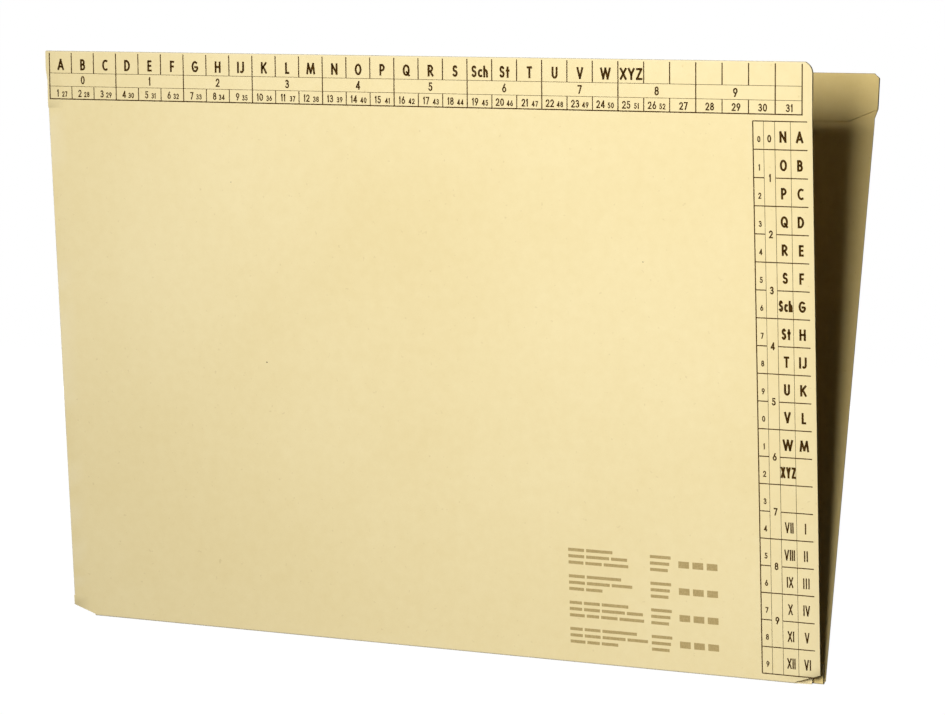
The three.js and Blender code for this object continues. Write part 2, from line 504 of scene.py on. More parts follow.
    def gusset_section(self, spread: float, reach: float, glue: float) -> list[Triple]:
        """Draw the gusset's section from the front cover to the end of the glued strip.

        Args:
            spread: Distance between the covers.
            reach: How far the middle crease lies inside the outer ones.
            glue: Width of the glued strip.

        Returns:
            Points with the distance from the left edge, from the front cover, and the wear.
        """
        radius = self.gusset_fold
        slope = math.degrees(math.atan2(spread / 2, reach))
        tangent = radius * math.tan(math.radians((180 - slope) / 2))
        offset = radius - tangent
        corners = [(tangent + offset, 0.0), (offset, 0.0), (reach, spread / 2)]
        corners += [(offset, spread), (glue, spread)]
        points = [(corners[0][0], corners[0][1], 1.0)]
        for before, corner, after in zip(corners, corners[1:], corners[2:]):
            inward = Vector(corner) - Vector(before)
            onward = Vector(after) - Vector(corner)
            turn = inward.angle(onward)
            cut = radius * math.tan(turn / 2)
            start = Vector(corner) - inward.normalized() * cut
            sense = 1.0 if inward.cross(onward) > 0 else -1.0
            normal = Vector((-inward.y, inward.x)).normalized() * sense
            centre = start + normal * radius
            arm = start - centre
            count = self.gusset_steps
            for step in range(count + 1):
                spin = Matrix.Rotation(sense * turn * step / count, 2)
                point = centre + spin @ arm
                points.append((point.x, point.y, 1.0 if 0 < step < count else FOLD_END_WEAR))
            # The first fold starts at the section's first point, so one of the two goes.
            if corner == corners[1]:
                del points[1]
        points.append((glue, spread, 0.0))
        return points

    def gusset(self) -> bpy.types.Object:
        """Fold the gusset between the left edges of the covers, with its glued strip."""
        fronts = self.halves[Cover.FRONT]
        rows = [
            row
            for row in fronts
            if row.flap < 0 and self.gusset_foot - 0.01 < row.height < self.gusset_head + 0.01
        ]
        start = -(self.width - self.thickness) / 2
        inner = self.thickness - self.glue_film
        sections = []
        for row in rows:
            back = self.row_at(Cover.BACK, row.height)
            front_point = self.placed(Cover.FRONT, 0.0, row)
            back_point = self.placed(Cover.BACK, 0.0, back, -inner)
            gap = (back_point - front_point).length / MM
            sections.append((front_point, (back_point - front_point).normalized(), gap))
        widest = sections[-1][2]
        drawn = []
        for row, (_, _, gap) in zip(rows, sections):
            near = min(row.height - self.gusset_foot, self.gusset_head - row.height)
            glue = max(self.least_glue, self.glue_width * min(1.0, near / self.glue_taper))
            drawn.append(self.gusset_section(gap, self.gusset_reach * gap / widest, glue))
        columns = len(drawn[0])

        def shape(column: int, index: int) -> tuple[Vector, Pair, float]:
            """Return the place, the place on the blank and the wear of one vertex."""
            origin, across, _ = sections[index]
            x, away, worn = drawn[index][column]
            place = origin + Vector(((start + x) * MM, 0.0, 0.0)) + across * (away * MM)
            walked = sum(
                math.dist(a[:2], b[:2])
                for a, b in zip(drawn[index][:column], drawn[index][1 : column + 1])
            )
            return place, ((start - walked) * MM, -rows[index].length * MM), worn

        return self.sheet("gusset", columns, len(rows), shape)

    def row_at(self, cover: Cover, height: float) -> Station:
        """Return the row of a cover at any height below its upper edge."""
        rows = self.halves[cover]
        top = next(at for at, row in enumerate(rows) if row.height > self.heights[cover] - 1e-6)
        below = [row for row in rows[: top + 1] if row.height <= height + 1e-6]
        foot = below[-1]
        cosine, sine = radial(foot.heading)
        travel = height - foot.height
        out, up = foot.out + travel * cosine, foot.up + travel * sine
        return Station(out, up, foot.heading, height, -1.0, foot.length + travel, 0.0)

    def build(self) -> bpy.types.Object:
        """Make the card, give it its thickness and round its cut edges.

        Returns:
            The finished card.
        """
        card = joined("folded_card", [self.covers(), self.gusset()])
        face_outwards(card, merge=self.weld * MM)
        apply_modifier(
            card,
            "SOLIDIFY",
            thickness=self.thickness * MM,
            offset=0.0,
            use_even_offset=True,
        )
        face_outwards(card)
        apply_modifier(
            card,
            "BEVEL",
            width=self.edge_round * MM,
            segments=2,
            limit_method="ANGLE",
            angle_limit=math.radians(60),
        )
        self.mark_inside(card)
        select_only(card)
        bpy.ops.object.shade_smooth_by_angle(angle=math.radians(35))
        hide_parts(CARD_NODE)
        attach(card, "root")
        return card

    def mark_inside(self, card: bpy.types.Object) -> None:
        """Mark the faces that look into the pocket, which get painted shade in the card's colour."""
        inside = card.data.attributes.new("inside", "FLOAT", "FACE")
        for polygon in card.data.polygons:
            inward = Vector((-polygon.center.x, -polygon.center.y, 0.0))
            inside.data[polygon.index].value = 1.0 if polygon.normal.dot(inward) > 0 else 0.0

    def on_front(self, across: float, down: float, lift: float) -> Vector:
        """Place a point of the print on the outside of the front cover.

        Args:
            across: Distance from the cover's left edge.
            down: Distance from its upper edge, seen square to it.
            lift: Height of the ink above the card.

        Returns:
            The point in metres.
        """
        crown = self.hem_radius + self.thickness / 2
        height = self.front_height + crown - down
        lifted = self.thickness / 2 + lift
        row = self.row_at(Cover.FRONT, min(height, self.front_height))
        if down < crown:
            sine = (crown - down) / crown
            rise = (crown + lift) * sine
            lifted = (crown + lift) * math.sqrt(1 - sine * sine) - self.hem_radius
            cosine, slope = radial(row.heading)
            out, up = row.out + rise * cosine, row.up + rise * slope
            row = Station(out, up, row.heading, height, -1.0, 0.0, 0.0)
        return self.placed(Cover.FRONT, across - self.width / 2, row, lifted)


def arc(centre: Pair, radii: Pair, start: float, end: float, steps: int = 9) -> list[Pair]:
    """Return points along part of an oval, from one angle in degrees to another."""
    points = []
    for step in range(steps + 1):
        cosine, sine = radial(start + (end - start) * step / steps)
        points.append((centre[0] + radii[0] * cosine, centre[1] + radii[1] * sine))
    return points


def chain(*points: Pair) -> list[list[Pair]]:
    """Return the straight strokes from each point to the next."""
    return [[start, end] for start, end in zip(points, points[1:])]


STEM = [(0.0, 0.0), (0.0, 1.0)]
HEAD_BAR = [(0.0, 1.0), (1.0, 1.0)]
FOOT_BAR = [(0.0, 0.0), (1.0, 0.0)]
SIX = [arc((0.5, 0.3), (0.5, 0.3), 90, 450, 16), [(0.02, 0.38), (0.66, 1.0)]]

# Each letter: its width against its height, and its strokes in a box of 1 by 1.
LETTERS: dict[str, tuple[float, list[list[Pair]]]] = {
    "A": (0.68, [[(0.0, 0.0), (0.5, 1.0)], [(0.5, 1.0), (1.0, 0.0)], [(0.24, 0.27), (0.76, 0.27)]]),
    "B": (
        0.53,
        [
            STEM,
            [(0.0, 1.0), (0.4, 1.0), *arc((0.4, 0.77), (0.48, 0.23), 90, -90), (0.0, 0.54)],
            [(0.0, 0.54), (0.45, 0.54), *arc((0.45, 0.27), (0.55, 0.27), 90, -90), (0.0, 0.0)],
        ],
    ),
    "C": (0.56, [arc((0.72, 0.5), (0.72, 0.5), 66, 294, 14)]),
    "D": (0.6, [STEM, [(0.0, 1.0), (0.3, 1.0), *arc((0.3, 0.5), (0.7, 0.5), 90, -90), (0.0, 0.0)]]),
    "E": (0.44, [STEM, HEAD_BAR, [(0.0, 0.52), (0.9, 0.52)], FOOT_BAR]),
    "F": (0.44, [STEM, HEAD_BAR, [(0.0, 0.49), (0.85, 0.49)]]),
    "G": (0.66, [[*arc((0.54, 0.5), (0.54, 0.5), 56, 345, 15), (1.0, 0.46), (0.58, 0.46)]]),
    "H": (0.6, [STEM, [(1.0, 0.0), (1.0, 1.0)], [(0.0, 0.52), (1.0, 0.52)]]),
    "I": (0.15, [[(0.5, 0.0), (0.5, 1.0)]]),
    "J": (0.44, [[(1.0, 1.0), (1.0, 0.28), *arc((0.4, 0.28), (0.6, 0.28), 0, -120, 6)]]),
    "K": (0.6, [STEM, [(0.96, 1.0), (0.12, 0.46)], [(0.34, 0.6), (1.0, 0.0)]]),
    "L": (0.42, [STEM, FOOT_BAR]),
    "M": (
        0.88,
        chain((0.0, 0.0), (0.15, 1.0), (0.5, 0.08), (0.85, 1.0), (1.0, 0.0)),
    ),
    "N": (0.64, [STEM, [(0.02, 0.96), (0.98, 0.04)], [(1.0, 0.0), (1.0, 1.0)]]),
    "O": (0.66, [arc((0.5, 0.5), (0.5, 0.5), 90, 450, 20)]),
    "P": (0.52, [STEM, [(0.0, 1.0), (0.4, 1.0), *arc((0.4, 0.72), (0.6, 0.28), 90, -90), (0.0, 0.44)]]),
    "Q": (0.68, [arc((0.5, 0.5), (0.5, 0.5), 90, 450, 20), [(0.58, 0.3), (1.0, -0.02)]]),
    "R": (
        0.56,
        [
            STEM,
            [(0.0, 1.0), (0.36, 1.0), *arc((0.36, 0.72), (0.56, 0.28), 90, -90), (0.0, 0.44)],
            [(0.4, 0.42), (1.0, 0.0)],
        ],
    ),
    "S": (
        0.5,
        [
            arc((0.5, 0.75), (0.44, 0.25), 35, 270, 11)[:-1]
            + arc((0.5, 0.255), (0.5, 0.255), 80, -145, 11)
        ],
    ),
    "T": (0.5, [HEAD_BAR, [(0.5, 0.0), (0.5, 1.0)]]),
    "U": (0.56, [[(0.0, 1.0), (0.0, 0.3), *arc((0.5, 0.3), (0.5, 0.3), 180, 360, 10), (1.0, 1.0)]]),
    "V": (0.62, chain((0.0, 1.0), (0.5, 0.0), (1.0, 1.0))),
    "W": (
        0.98,
        chain((0.0, 1.0), (0.25, 0.0), (0.5, 1.0), (0.75, 0.0), (1.0, 1.0)),
    ),
    "X": (0.6, [[(0.0, 0.0), (1.0, 1.0)], [(0.0, 1.0), (1.0, 0.0)]]),
    "Y": (0.6, [[(0.0, 1.0), (0.5, 0.44)], [(1.0, 1.0), (0.5, 0.44)], [(0.5, 0.44), (0.5, 0.0)]]),
    "Z": (0.56, [HEAD_BAR, [(0.96, 0.96), (0.04, 0.04)], FOOT_BAR]),
    "c": (0.42, [arc((0.72, 0.32), (0.72, 0.32), 66, 294, 12)]),
    "h": (0.44, [STEM, [*arc((0.5, 0.36), (0.5, 0.28), 170, 0, 8), (1.0, 0.0)]]),
    "t": (0.36, [[(0.5, 0.94), (0.5, 0.0)], [(0.0, 0.64), (1.0, 0.64)]]),
    "0": (0.56, [arc((0.5, 0.5), (0.5, 0.5), 90, 450, 18)]),
    "1": (0.3, chain((0.1, 0.8), (0.75, 1.0), (0.75, 0.0))),
    "2": (0.54, [[*arc((0.48, 0.7), (0.48, 0.3), 165, -35, 10), (0.04, 0.02)], [(0.0, 0.0), (1.0, 0.0)]]),
    "3": (
        0.52,
        [
            arc((0.46, 0.76), (0.44, 0.24), 150, -90, 10),
            arc((0.46, 0.26), (0.54, 0.26), 90, -150, 10),
        ],
    ),
    "4": (0.58, chain((0.74, 0.0), (0.74, 1.0), (0.0, 0.25), (1.0, 0.25))),
    "5": (
        0.52,
        [
            [(0.9, 1.0), (0.2, 1.0)],
            [(0.2, 1.0), (0.1, 0.56), *arc((0.46, 0.32), (0.54, 0.32), 118, -150, 11)],
        ],
    ),
    "6": (0.54, SIX),
    "7": (0.52, [HEAD_BAR, [(1.0, 0.98), (0.3, 0.0)]]),
    "8": (
        0.54,
        [arc((0.5, 0.76), (0.42, 0.24), 90, 450, 14), arc((0.5, 0.27), (0.5, 0.27), 90, 450, 16)],
    ),
    "9": (0.54, [[(1 - x, 1 - y) for x, y in stroke] for stroke in SIX]),
}


@dataclass
class Lettering:
    """Plain narrow letters and figures, drawn with strokes of even weight.

    Each word is drawn once in a size, and copied to its places.

    Attributes:
        gap: Distance between letters, in parts of their height.
        cap: How far a stroke runs past its last point, in parts of its weight.
    """

    gap: float = 0.1
    cap: float = 0.5
    words: dict[tuple[str, float, float, float], bpy.types.Mesh] = field(default_factory=dict)

    def stroke(self, points: Sequence[Vector], weight: float) -> bpy.types.Object:
        """Draw one stroke as a flat ribbon.

        Args:
            points: The line along its middle, whose ends meet if it is closed.
            weight: Its width.

        Returns:
            The ribbon.
        """
        line = [point.copy() for point in points]
        closed = (line[0] - line[-1]).length < 1e-6
        if not closed:
            line[0] += (line[0] - line[1]).normalized() * weight * self.cap
            line[-1] += (line[-1] - line[-2]).normalized() * weight * self.cap
        select_only()
        bpy.ops.mesh.primitive_grid_add(x_subdivisions=len(line) - 1, y_subdivisions=1, size=2)
        ribbon = bpy.context.object
        for vertex in ribbon.data.vertices:
            at = round((vertex.co.x + 1) / 2 * (len(line) - 1))
            before = line[at - 1] if at else (line[-2] if closed else None)
            after = line[at + 1] if at + 1 < len(line) else (line[1] if closed else None)
            into = (line[at] - before).normalized() if before else None
            onward = (after - line[at]).normalized() if after else into
            into = into or onward
            along = (into + onward).normalized()
            reach = weight / 2 / max(0.75, along.dot(into))
            side = 1 if vertex.co.y > 0 else -1
            vertex.co = (line[at] + Vector((-along.y, along.x)) * reach * side).to_3d()
        return ribbon

    def drawn(self, text: str, height: float, weight: float, squeeze: float) -> bpy.types.Mesh:
        """Draw a word at the origin, as a flat mesh in millimetres.

        Args:
            text: The word.
            height: Height of its capitals.
            weight: Width of the strokes.
            squeeze: The word's width against its own natural one.

        Returns:
            The mesh, with the word centred on X and standing on the X axis.
        """
        gap = self.gap * height
        own = sum(LETTERS[letter][0] * height for letter in text) + gap * (len(text) - 1)
        ribbons = []
        left = -own * squeeze / 2
        for letter in text:
            share, strokes = LETTERS[letter]
            wide = share * height * squeeze
            room = Vector((max(0.0, wide - weight), height - weight))
            start = Vector((left + min(wide, weight) / 2, weight / 2))
            for points in strokes:
                line = [start + Vector((x * room.x, y * room.y)) for x, y in points]
                ribbons.append(self.stroke(line, weight))
            left += wide + gap * squeeze
        word = joined("word", ribbons)
        mesh = word.data
        bpy.data.objects.remove(word)
        return mesh

    def copy(self, text: str, height: float, weight: float, squeeze: float) -> bpy.types.Object:
        """Return a fresh copy of a word as an object, drawn on its first use."""
        key = (text, height, weight, squeeze)
        if key not in self.words:
            self.words[key] = self.drawn(*key)
        word = bpy.data.objects.new("word", self.words[key].copy())
        bpy.context.scene.collection.objects.link(word)
        return word


@dataclass
class Index:
    """The index printed on the front cover: a head of three rows and a column of registers.

    Places are millimetres from the cover's left and upper edges.
    """

    card: FolderCard
    lettering: Lettering
    pitch: float = 10.005
    first_tick: float = 1.13
    tick_top: float = 0.75
    head_rows: Triple = (8.55, 13.6, 18.5)
    registers_top: float = 20.92
    registers_pitch: float = 10.0
    registers: tuple[float, float, float, float] = (292.8, 296.8, 301.0, 306.9)
    registers_end: float = 313.15
    thick: float = 0.44
    middling: float = 0.38
    thin: float = 0.17
    ink: float = 0.02
    columns: int = 31
    paired_columns: int = 26
    rows: int = 20
    lettered_rows: int = 14
    edge_steps: int = 6
    letter_foot: float = 7.4
    figure_foot: float = 12.72
    day_foot: float = 17.65
    register_foot: float = 7.5
    strokes: list[bpy.types.Object] = field(default_factory=list)
    words: list[bpy.types.Object] = field(default_factory=list)

    HEAD = "A B C D E F G H IJ K L M N O P Q R S Sch St T U V W XYZ".split()
    LATER = [*HEAD[12:], ""]
    LATER_MONTHS = "VII VIII IX X XI XII".split()
    EARLIER = [*HEAD[:12], "", ""]
    EARLIER_MONTHS = "I II III IV V VI".split()

    def bar(self, left: float, top: float, right: float, bottom: float) -> bpy.types.Object:
        """Draw a filled rectangle on the flat layout.

        Args:
            left: Distance of its left side from the cover's left edge.
            top: Distance of its upper side from the cover's upper edge.
            right: Distance of its right side from the cover's left edge.
            bottom: Distance of its lower side from the cover's upper edge.

        Returns:
            The rectangle, with X along the cover and Y up it, both in millimetres.
        """
        select_only()
        # A bar that starts near the upper edge gets more rows, to follow the edge's round.
        steps = self.edge_steps if top < 1 else 1
        bpy.ops.mesh.primitive_grid_add(x_subdivisions=1, y_subdivisions=steps, size=2)
        bar = bpy.context.object
        for vertex in bar.data.vertices:
            down = ((1 - vertex.co.y) / 2) ** (2 if steps > 1 else 1)
            vertex.co.x = left if vertex.co.x < 0 else right
            vertex.co.y = -(top + (bottom - top) * down)
        return bar

    def upright(self, at: float, top: float, bottom: float, weight: float) -> None:
        """Rule a line up the cover."""
        self.strokes.append(self.bar(at - weight / 2, top, at + weight / 2, bottom))

    def level(self, at: float, left: float, right: float, weight: float) -> None:
        """Rule a line along the cover."""
        self.strokes.append(self.bar(left, at - weight / 2, right, at + weight / 2))

    def word(
        self,
        text: str,
        middle: float,
        baseline: float,
        height: float,
        weight: float,
        squeeze: float = 1.0,
    ) -> None:
        """Print a word.

        Args:
            text: The word. Nothing is printed for an empty one.
            middle: Distance of its middle from the cover's left edge.
            baseline: Distance of its foot from the cover's upper edge.
            height: Height of its capitals.
            weight: Width of its strokes.
            squeeze: Its width against its own natural one.
        """
        if not text:
            return
        word = self.lettering.copy(text, height, weight, squeeze)
        word.data.transform(Matrix.Translation((middle, -baseline, 0)))
        self.words.append(word)

    def rule_head(self) -> None:
        """Rule the head of the index: ticks between the letters, figures and days."""
        left = self.first_tick
        right = left + self.columns * self.pitch
        first, second, third = self.head_rows
        for column in range(self.columns + 1):
            at = left + column * self.pitch
            edge = column in (0, self.columns)
            group = column % 3 == 0
            self.upright(at, self.tick_top, first, self.thick)
            if edge or group:
                self.upright(at, first, third, self.thick)
            else:
                self.upright(at, second, third, self.middling)
        self.level(first, left, right, self.thin)
        self.level(second, left, right, self.thin)
        self.level(third, left - self.thick / 2, right + self.thick / 2, self.thick)

    def print_head(self) -> None:
        """Print the letters, figures and days of the head."""
        for column in range(self.columns):
            middle = self.first_tick + (column + 0.5) * self.pitch
            if column < len(self.HEAD):
                text = self.HEAD[column]
                self.word(text, middle + 0.12, self.letter_foot, 4.3, 0.8, 1.04 if text == "XYZ" else 1.0)
            left = middle - self.pitch / 2
            day = str(column + 1)
            if column < self.paired_columns:
                close = len(day) == 1
                second = str(column + 1 + self.paired_columns)
                self.word(day, left + (3.6 if close else 3.2), self.day_foot, 2.8, 0.46)
                self.word(second, left + (6.7 if close else 7.2), self.day_foot, 2.1, 0.38)
            else:
                self.word(day, middle + 0.3, self.day_foot, 2.8, 0.48)
        for group in range(10):
            middle = self.first_tick + (3 * group + 1.5) * self.pitch
            self.word(str(group), middle, self.figure_foot, 3.2, 0.54)

    def rule_registers(self) -> None:
        """Rule the column of registers down the right edge."""
        top = self.registers_top
        bottom = top + self.rows * self.registers_pitch
        first, second, third, fourth = self.registers
        self.upright(first, top, bottom, self.thick)
        for at in (second, third, fourth):
            self.upright(at, top, bottom, self.thin)
        for row in range(self.rows + 1):
            at = top + row * self.registers_pitch
            if row % 2 == 0 and 0 < row < self.rows:
                self.level(at, first, second, self.middling)
                self.level(at, third, self.registers_end, self.middling)
            else:
                self.level(at, first, self.registers_end, self.middling)

    def print_registers(self) -> None:
        """Print the figures, letters and months of the registers."""
        top = self.registers_top
        later = self.LATER + self.LATER_MONTHS
        earlier = self.EARLIER + self.EARLIER_MONTHS
        for row in range(self.rows):
            above = top + row * self.registers_pitch
            foot = above + self.register_foot
            self.word(str(row % 10), 295.0, foot, 2.2, 0.4)
            for text, middle in ((later[row], 304.05), (earlier[row], 310.25)):
                height, weight = (4.1, 0.8) if row < self.lettered_rows else (3.95, 0.5)
                self.word(text, middle, foot, height, weight, self.squeezed(text, row))
        self.word("0", 298.9, top + self.register_foot, 2.7, 0.5)
        for pair in range(1, 10):
            foot = top + 2 * pair * self.registers_pitch + 1.4
            self.word(str(pair), 298.95, foot, 2.8, 0.5)

    def squeezed(self, text: str, row: int) -> float:
        """Return how far a register's word is squeezed to fit its narrow column."""
        if row < self.lettered_rows:
            return {"XYZ": 0.72, "Sch": 0.82, "St": 0.88}.get(text, 1.0)
        return 1.0 if set(text) == {"I"} else 0.74

    def pressed(self, name: str, parts: Sequence[bpy.types.Object]) -> bpy.types.Object:
        """Lay flat print on the front cover and give the ink its thickness.

        Args:
            name: The name of the printed piece.
            parts: Its flat parts.

        Returns:
            The printed piece.
        """
        piece = joined(name, parts)
        for vertex in piece.data.vertices:
            vertex.co = self.card.on_front(vertex.co.x, -vertex.co.y, self.ink)
        face_outwards(piece)
        outside = Vector((0.0, -1.0, 0.0))
        turned = sum(polygon.normal.dot(outside) * polygon.area for polygon in piece.data.polygons)
        offset = -1.0 if turned > 0 else 1.0
        apply_modifier(piece, "SOLIDIFY", thickness=2 * self.ink * MM, offset=offset)
        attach(piece, "root")
        return piece

    def build(self) -> list[bpy.types.Object]:
        """Print the index.

        Returns:
            The ruled lines and the characters.
        """
        self.rule_head()
        self.rule_registers()
        self.print_head()
        self.print_registers()
        return [self.pressed("index_lines", self.strokes), self.pressed("index_characters", self.words)]


@dataclass
class Notes:
    """The small print at the lower right, as plain bars where the lines of words stand."""

    index: Index
    top: float = 180.9
    left: float = 216.9
    label_left: float = 249.6
    figures_left: float = 260.8
    figure_size: Pair = (4.2, 2.5)
    group_pitch: float = 10.0
    line_pitch: float = 2.4
    bar_height: float = 1.15
    gap: float = 0.8
    label_drop: float = 0.2
    figure_gap: float = 1.35
    groups: tuple[tuple[tuple[float, ...], ...], ...] = (
        ((6.4, 10.6), (6.4, 9.2, 6.4), (6.0, 6.6, 9.8)),
        ((6.4, 13.8), (6.4, 9.2, 8.2), (6.0, 6.6)),
        ((5.0, 6.4, 10.6), (5.0, 6.4, 9.2, 6.4), (6.0, 5.0, 6.6, 9.8)),
        ((5.0, 6.4, 13.8), (5.0, 6.4, 9.2, 8.2), (6.0, 5.0, 6.6)),
    )
    labels: tuple[float, ...] = (8.2, 7.6, 7.0)

    def line(self, left: float, middle: float, words: Sequence[float]) -> list[bpy.types.Object]:
        """Draw one line of words, each as a bar of its length."""
        bars = []
        for word in words:
            top, bottom = middle - self.bar_height / 2, middle + self.bar_height / 2
            bars.append(self.index.bar(left, top, left + word, bottom))
            left += word + self.gap
        return bars

    def build(self) -> bpy.types.Object:
        """Print the bars.

        Returns:
            The printed piece.
        """
        bars = []
        width, height = self.figure_size
        for group, lines in enumerate(self.groups):
            first = self.top + group * self.group_pitch
            for number, words in enumerate(lines):
                middle = first + number * self.line_pitch
                bars += self.line(self.left, middle, words)
                bars += self.line(self.label_left, middle + self.label_drop, [self.labels[number]])
            top = first + self.line_pitch - height / 2
            for figure in range(3):
                left = self.figures_left + figure * (width + self.figure_gap)
                bars.append(self.index.bar(left, top, left + width, top + height))
        return self.index.pressed("note_bars", bars)


@dataclass
class Specks:
    """The few dark specks in the card of the front cover."""

    index: Index
    places: tuple[Triple, ...] = (
        (92.6, 117.4, 0.32),
        (249.6, 72.7, 0.22),
        (80.3, 48.7, 0.18),
    )

    def build(self) -> bpy.types.Object:
        """Model the specks.

        Returns:
            All the specks as one piece.
        """
        specks = []
        for across, down, radius in self.places:
            select_only()
            bpy.ops.mesh.primitive_circle_add(
                vertices=9,
                radius=radius,
                fill_type="NGON",
                location=(across, -down, 0),
            )
            speck = bpy.context.object
            for vertex in speck.data.vertices:
                vertex.co.y *= 0.7 + 0.3 * math.sin(3.1 * vertex.index)
            bpy.ops.object.transform_apply(location=True, rotation=True, scale=True)
            specks.append(speck)
        return self.index.pressed("card_specks", specks)


class Value:
    """A number that varies over a surface. Its operators add Math nodes."""

    def __init__(self, nodes: "Nodes", socket: bpy.types.NodeSocket) -> None:
        """Wrap an output socket of a node tree."""
        self.nodes = nodes
        self.socket = socket

    def math(self, operation: str, first: "Number", second: "Number" = 0.0) -> "Value":
        """Add a Math node on two numbers."""
        settings = {"operation": operation}
        return self.nodes.value("ShaderNodeMath", settings, {0: first, 1: second})

    def __add__(self, other: "Number") -> "Value":
        """Return the sum."""
        return self.math("ADD", self, other)

    def __radd__(self, other: "Number") -> "Value":
        """Return the sum, with the number first."""
        return self.math("ADD", other, self)

    def __sub__(self, other: "Number") -> "Value":
        """Return the difference."""
        return self.math("SUBTRACT", self, other)

    def __rsub__(self, other: "Number") -> "Value":
        """Return the difference, with the number first."""
        return self.math("SUBTRACT", other, self)

    def __mul__(self, other: "Number") -> "Value":
        """Return the product."""
        return self.math("MULTIPLY", self, other)

    def __rmul__(self, other: "Number") -> "Value":
        """Return the product, with the number first."""
        return self.math("MULTIPLY", other, self)


Number = Value | float


class Nodes:
    """A material's node tree, cleared but for its shader and output."""

    def __init__(self, name: str) -> None:
        """Make the material with a Principled shader."""
        self.material = bpy.data.materials.new(name)
        self.material.use_nodes = True
        self.tree = self.material.node_tree
        self.tree.nodes.clear()
        self.shader = self.tree.nodes.new("ShaderNodeBsdfPrincipled")
        self.output = self.tree.nodes.new("ShaderNodeOutputMaterial")
        self.tree.links.new(self.shader.outputs[0], self.output.inputs["Surface"])

    def node(self, kind: str, settings: dict, inputs: dict) -> bpy.types.Node:
        """Add a node.

        Args:
            kind: Its type.
            settings: Its properties, set first. The stops of a ramp are given as "stops".
            inputs: Values, or sockets to link, by the name or number of its input.

        Returns:
            The node.
        """
        node = self.tree.nodes.new(kind)
        for key, value in settings.items():
            if key == "stops":
                self.set_stops(node.color_ramp, value)
            else:
                setattr(node, key, value)
        for key, value in inputs.items():
            self.feed(node.inputs[key], value)
        return node

    def set_stops(self, ramp: bpy.types.ColorRamp, stops: Sequence[Pair]) -> None:
        """Give a ramp its stops, each a place and a grey level."""
        for element, (place, level) in zip(ramp.elements, stops):
            element.position = place
            element.color = (level, level, level, 1.0)

    def feed(self, target: bpy.types.NodeSocket, value: object) -> None:
        """Link a socket or a value into an input, or set the input to a constant."""
        if isinstance(value, Value):
            value = value.socket
        if isinstance(value, bpy.types.NodeSocket):
            self.tree.links.new(value, target)
        else:
            target.default_value = value

    def value(self, kind: str, settings: dict, inputs: dict, output: int | str = 0) -> Value:
        """Add a node and return one of its outputs as a number."""
        return Value(self, self.node(kind, settings, inputs).outputs[output])

    def coordinates(self, source: str) -> bpy.types.NodeSocket:
        """Return one of the outputs of a Texture Coordinate node."""
        return self.node("ShaderNodeTexCoord", {}, {}).outputs[source]

    def scaled(self, vector: bpy.types.NodeSocket, scale: Triple) -> bpy.types.NodeSocket:
        """Stretch coordinates along their axes."""
        return self.node("ShaderNodeMapping", {}, {"Vector": vector, "Scale": scale}).outputs[0]

    def noise(self, vector: bpy.types.NodeSocket, scale: float, detail: float, rough: float) -> Value:
        """Add a noise texture and return its level, about 0.5 in the mean."""
        inputs = {"Vector": vector, "Scale": scale, "Detail": detail, "Roughness": rough}
        return self.value("ShaderNodeTexNoise", {}, inputs)

    def ramp(self, value: Value, low: float, high: float) -> Value:
        """Return 0 below the low level of a value and 1 above the high one."""
        stops = [(low, 0.0), (high, 1.0)]
        return self.value("ShaderNodeValToRGB", {"stops": stops}, {"Fac": value})

    def mixed(
        self,
        share: Number,
        first: object,
        second: object,
        blend: str = "MIX",
    ) -> bpy.types.NodeSocket:
        """Mix two colours by a share from 0 to 1, or multiply the first by the second."""
        settings = {"data_type": "RGBA", "blend_type": blend}
        inputs = {0: share, 6: first, 7: second}
        return self.node("ShaderNodeMix", settings, inputs).outputs[2]

    def bump(self, height: Value, distance: float, strength: float) -> bpy.types.NodeSocket:
        """Add a Bump node for a height from 0 to 1."""
        inputs = {"Height": height, "Distance": distance, "Strength": strength}
        return self.node("ShaderNodeBump", {}, inputs).outputs[0]


def tone(red: int, green: int, blue: int) -> Colour:
    """Turn a colour of 0 to 255 a channel, as seen on a screen, to the linear colour of a shader."""

    def linear(level: int) -> float:
        """Return the linear level of a channel."""
        share = level / 255
        return share / 12.92 if share <= 0.04045 else ((share + 0.055) / 1.055) ** 2.4

    return linear(red), linear(green), linear(blue), 1.0


